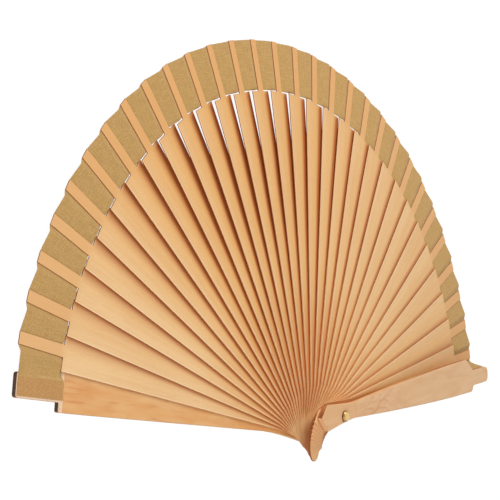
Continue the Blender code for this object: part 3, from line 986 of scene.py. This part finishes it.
def wood_mesh(index, node, stick):
    """A copy of a node's mesh in its own frame, with a material for each kind of face."""
    bm = bmesh.new()
    bm.from_mesh(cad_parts[node].data)
    bmesh.ops.transform(bm, matrix=placement(index).inverted(), verts=bm.verts)
    bmesh.ops.remove_doubles(bm, verts=bm.verts[:], dist=JOIN_DISTANCE)
    bmesh.ops.dissolve_limit(bm, angle_limit=FLAT_ANGLE, verts=bm.verts[:], edges=bm.edges[:])
    if stick:
        close_head(bm, index)
        fill_left(bm, index)
    bm.normal_update()
    eased = bm.edges.layers.float.new("bevel_weight_edge")
    for edge in bm.edges:
        if edge.calc_face_angle(0.0) > EASED_ANGLE:
            in_head = (edge.verts[0].co.x + edge.verts[1].co.x) / 2 < NECK
            edge[eased] = HEAD_EDGE_SHARE if in_head else 1.0
    for face in bm.faces:
        face.smooth = True
        face.material_index = surface_of(face)
    return mesh_from(bm, wood_name(index))


def wooden_piece(index, node, materials):
    """The dressed copy of a stick or guard. The sticks have eased edges."""
    stick = REAR_GUARD < index < FRONT_GUARD
    mesh = wood_mesh(index, node, stick)
    for made in materials:
        mesh.materials.append(made)
    piece = linked(mesh.name, mesh)
    piece.matrix_world = placement(index)
    if stick:
        mark_stick(mesh, index)
        edges = piece.modifiers.new("eased edges", "BEVEL")
        edges.width = FINE_EDGE
        edges.segments = 2
        edges.limit_method = "WEIGHT"
        edges.use_clamp_overlap = True
    else:
        mesh.set_sharp_from_angle(angle=GUARD_SHARP_ANGLE)
    weighted = piece.modifiers.new("even shading", "WEIGHTED_NORMAL")
    weighted.keep_sharp = True
    weighted.weight = SHADING_WEIGHT
    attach(piece, body_of(index))
    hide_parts(node)


# The rivet
def dome(radius, height, base, up, flat=0.0):
    """The profile of a dome from its rim to the axis, as (radius, height).

    Its middle is flat out to the radius flat.
    """
    points = []
    for step in range(DOME_STEPS + 1):
        turn = math.pi / 2 * step / DOME_STEPS
        wide, high = math.cos(turn), math.sin(turn)
        points.append((flat + (radius - flat) * wide, base + up * height * high))
    if flat == 0.0:
        points.pop()
    points.append((0.0, base + up * height))
    return points


def make_rivet(made):
    """The rivet, turned from one profile."""
    seat = FRONT_GUARD_FRONT + REST_GAP
    peened = dome(PEENED_RADIUS, PEENED_HEIGHT, PEENED_HEIGHT, -1, PEENED_FLAT_RADIUS)
    head = dome(DOME_RADIUS, DOME_HEIGHT, seat + DOME_RIM, 1)
    shank = [(PIN_RADIUS, PEENED_HEIGHT), (PIN_RADIUS, seat), (DOME_RADIUS, seat)]
    bm = bmesh.new()
    points = [bm.verts.new((radius, 0, height)) for radius, height in peened[::-1] + shank + head]
    edges = [bm.edges.new(pair) for pair in zip(points, points[1:])]
    bmesh.ops.spin(
        bm,
        geom=points + edges,
        axis=(0, 0, 1),
        cent=(0, 0, 0),
        angle=2 * math.pi,
        steps=TURNED_SIDES,
    )
    bmesh.ops.remove_doubles(bm, verts=bm.verts[:], dist=TURNED_JOIN_DISTANCE)
    bmesh.ops.recalc_face_normals(bm, faces=bm.faces)
    mesh = mesh_from(bm, "rivet_pin")
    mesh.shade_smooth()
    mesh.set_sharp_from_angle(angle=RIVET_SHARP_ANGLE)
    mesh.materials.append(made)
    piece = linked(mesh.name, mesh)
    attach(piece, body_of(REAR_GUARD))
    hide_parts("rivet")


# The leaf
def strip_edges(index, x):
    """The left and right edges of a stick's outer strip, or of the front guard's tip."""
    if index == FRONT_GUARD:
        return FRONT_TIP_LEFT, -FRONT_TIP_RIGHT
    share = (x - STICK_SHOULDER) / (LENGTH - STICK_SHOULDER)
    left = STICK_OFFSET + STRIP_LEFT - STRIP_SLANT * share
    return left, left - STRIP_WIDTH


def on_strip(index, x, y):
    """The cloth's front face against a tip: before the rear guard, behind all other pieces."""
    height = bent(index, x, y)
    if index == REAR_GUARD:
        height += CLOTH_GAP + CLOTH_THICKNESS - rebate(x)
    else:
        height -= thickness_at(index, x) + CLOTH_GAP
    return placement(index) @ Vector((x, y, height))


def rounded_line(corners, sizes):
    """A line of points through the corners, each inner corner rounded by its size."""
    line = [corners[0]]
    for before, here, after, size in zip(corners, corners[1:], corners[2:], sizes):
        back = before - here
        ahead = after - here
        reach = min(size, ROUNDING_LIMIT * back.length, ROUNDING_LIMIT * ahead.length)
        start = here + back.normalized() * reach
        end = here + ahead.normalized() * reach
        for step in range(ROUNDING_STEPS + 1):
            t = step / ROUNDING_STEPS
            line.append(start * (1 - t) ** 2 + here * 2 * t * (1 - t) + end * t**2)
    line.append(corners[-1])
    return line


def inner_edge(index):
    """Where a panel starts: at the left near the shoulders, at the right tucked in behind them."""
    if index == REAR_GUARD:
        return FIRST_LEAF_INNER
    if index <= LAST_LEFT_PANEL:
        return LEFT_LEAF_INNER
    return RIGHT_LEAF_INNER if index >= FIRST_RIGHT_PANEL else LEAF_INNER


def panel_line(index, share):
    """The cloth's cross section from the middle of one strip to the middle of the next.

    It lies at a share of the way from the leaf's inner edge to its outer edge.
    """
    x = inner_edge(index) + (LEAF_OUTER - inner_edge(index)) * share
    if index == REAR_GUARD:
        rear_x = REAR_LEAF_INNER + (REAR_LEAF_OUTER - REAR_LEAF_INNER) * share
        line = [on_strip(index, rear_x, y) for y in (REAR_LEAF_LEFT, -REAR_LEAF_RIGHT)]
        start = on_strip(index, min(x, REAR_LEAF_OUTER), -REAR_TIP_RIGHT)
        sizes = (REAR_EDGE_ROUNDING,)
    else:
        left, right = strip_edges(index, x)
        line = [on_strip(index, x, (left + right) / 2)]
        start = on_strip(index, x, right)
        sizes = ()
    last = index + 1 == FRONT_GUARD
    next_x = min(x, FRONT_LEAF_OUTER) if last else x
    next_left, next_right = strip_edges(index + 1, next_x)
    finish = on_strip(index + 1, next_x, next_left)
    end_y = next_right if last else (next_left + next_right) / 2
    across = finish - start
    rise = min(max((x - STICK_SHOULDER - SHOULDER_CLEARANCE) / CREASE_RISE, 0.0), 1.0)
    folds = LAST_PLEAT_FOLDS if last else PLEAT_FOLDS
    line.append(start)
    line += [start + across * way + Vector((0, 0, height * rise)) for way, height in folds]
    line += [finish, on_strip(index + 1, next_x, end_y)]
    return rounded_line(line, sizes + (LAST_PLEAT_ROUNDING if last else PLEAT_ROUNDING))


def sheet_faces(bm, front, back):
    """The faces of a sheet between two grids of points: both sides, and round the edges."""
    last_row, last_column = len(front) - 1, len(front[0]) - 1
    corners = []
    for r in range(last_row):
        for c in range(last_column):
            corners.append((front[r][c], front[r][c + 1], front[r + 1][c + 1], front[r + 1][c]))
            corners.append((back[r][c], back[r + 1][c], back[r + 1][c + 1], back[r][c + 1]))
    for c in range(last_column):
        for r in (0, last_row):
            corners.append((front[r][c], back[r][c], back[r][c + 1], front[r][c + 1]))
    for r in range(last_row):
        for c in (0, last_column):
            corners.append((front[r][c], front[r + 1][c], back[r + 1][c], back[r][c]))
    return [bm.faces.new(four) for four in corners]


def panel_mesh(index, rows, across, along):
    """The mesh of a panel, which holds how its weave lies and how far it is past the rear guard.

    The lists across and along give where its columns and rows lie on the flat cloth.
    """
    bm = bmesh.new()
    weave = bm.loops.layers.uv.new("weave")
    on_guard = bm.verts.layers.float.new("on_guard")
    drop = Vector((0, 0, CLOTH_THICKNESS))
    front = [[bm.verts.new(point) for point in row] for row in rows]
    back = [[bm.verts.new(point - drop) for point in row] for row in rows]
    laid_flat = {}
    for grid in (front, back):
        for height, row in zip(along, grid):
            for width, vert in zip(across, row):
                laid_flat[vert] = (width + WEAVE_STEP * index, height)
    to_guard = placement(REAR_GUARD).inverted()
    for vert in bm.verts:
        vert[on_guard] = -(to_guard @ vert.co).y
    for face in sheet_faces(bm, front, back):
        for loop in face.loops:
            loop[weave].uv = laid_flat[loop.vert]
    bmesh.ops.recalc_face_normals(bm, faces=bm.faces)
    return mesh_from(bm, f"leaf_pleat_{index + 1:02d}")


def make_panel(index, made):
    """The panel of cloth between a piece and the next."""
    shares = [(row / (CLOTH_ROWS - 1)) ** ROW_CROWDING for row in range(CLOTH_ROWS)]
    rows = [panel_line(index, share) for share in shares]
    reach = LEAF_OUTER - inner_edge(index)
    across = [0.0]
    for near, far in zip(rows[-1], rows[-1][1:]):
        across.append(across[-1] + (far - near).length)
    mesh = panel_mesh(index, rows, across, [reach * share for share in shares])
    mesh.shade_smooth()
    mesh.set_sharp_from_angle(angle=CLOTH_SHARP_ANGLE)
    mesh.materials.append(made)
    piece = linked(mesh.name, mesh)
    x = (LEAF_INNER + LEAF_OUTER) / 2
    right = -REAR_TIP_RIGHT if index == REAR_GUARD else strip_edges(index, x)[1]
    start = on_strip(index, x, right)
    end = on_strip(index + 1, x, strip_edges(index + 1, x)[0])
    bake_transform(piece)
    return piece


make_camera()
make_world()
make_lights()
make_floor()

sides = side_wood()
dark_end = dark_end_grain("dark_end_wood", *DARK_END_COLOURS)
grey_end = dark_end_grain("grey_end_wood", *GREY_END_COLOURS)
head_end = dark_end_grain("head_end_wood", *HEAD_END_COLOURS)
pale_end = pale_end_wood()
stick_surfaces = [stick_wood(), sides, dark_end, pale_end, head_end]
front_surfaces = [front_guard_wood(), sides, dark_end, pale_end, head_end]
rear_surfaces = [rear_guard_wood(), sides, grey_end, pale_end, head_end]
for number in range(1, STICK_COUNT + 1):
    wooden_piece(number, f"stick_{number:02d}", stick_surfaces)
wooden_piece(FRONT_GUARD, "front_guard", front_surfaces)
wooden_piece(REAR_GUARD, "rear_guard", rear_surfaces)

metal = brass()
make_rivet(metal)
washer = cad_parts["rivet_washer"]
washer.data.materials.clear()
washer.data.materials.append(metal)

khaki = cloth("khaki_cloth", *KHAKI_COLOURS)
panels = [make_panel(index, khaki) for index in range(FRONT_GUARD)]
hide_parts("leaf")

bpy.context.scene.view_settings.view_transform = "Standard"
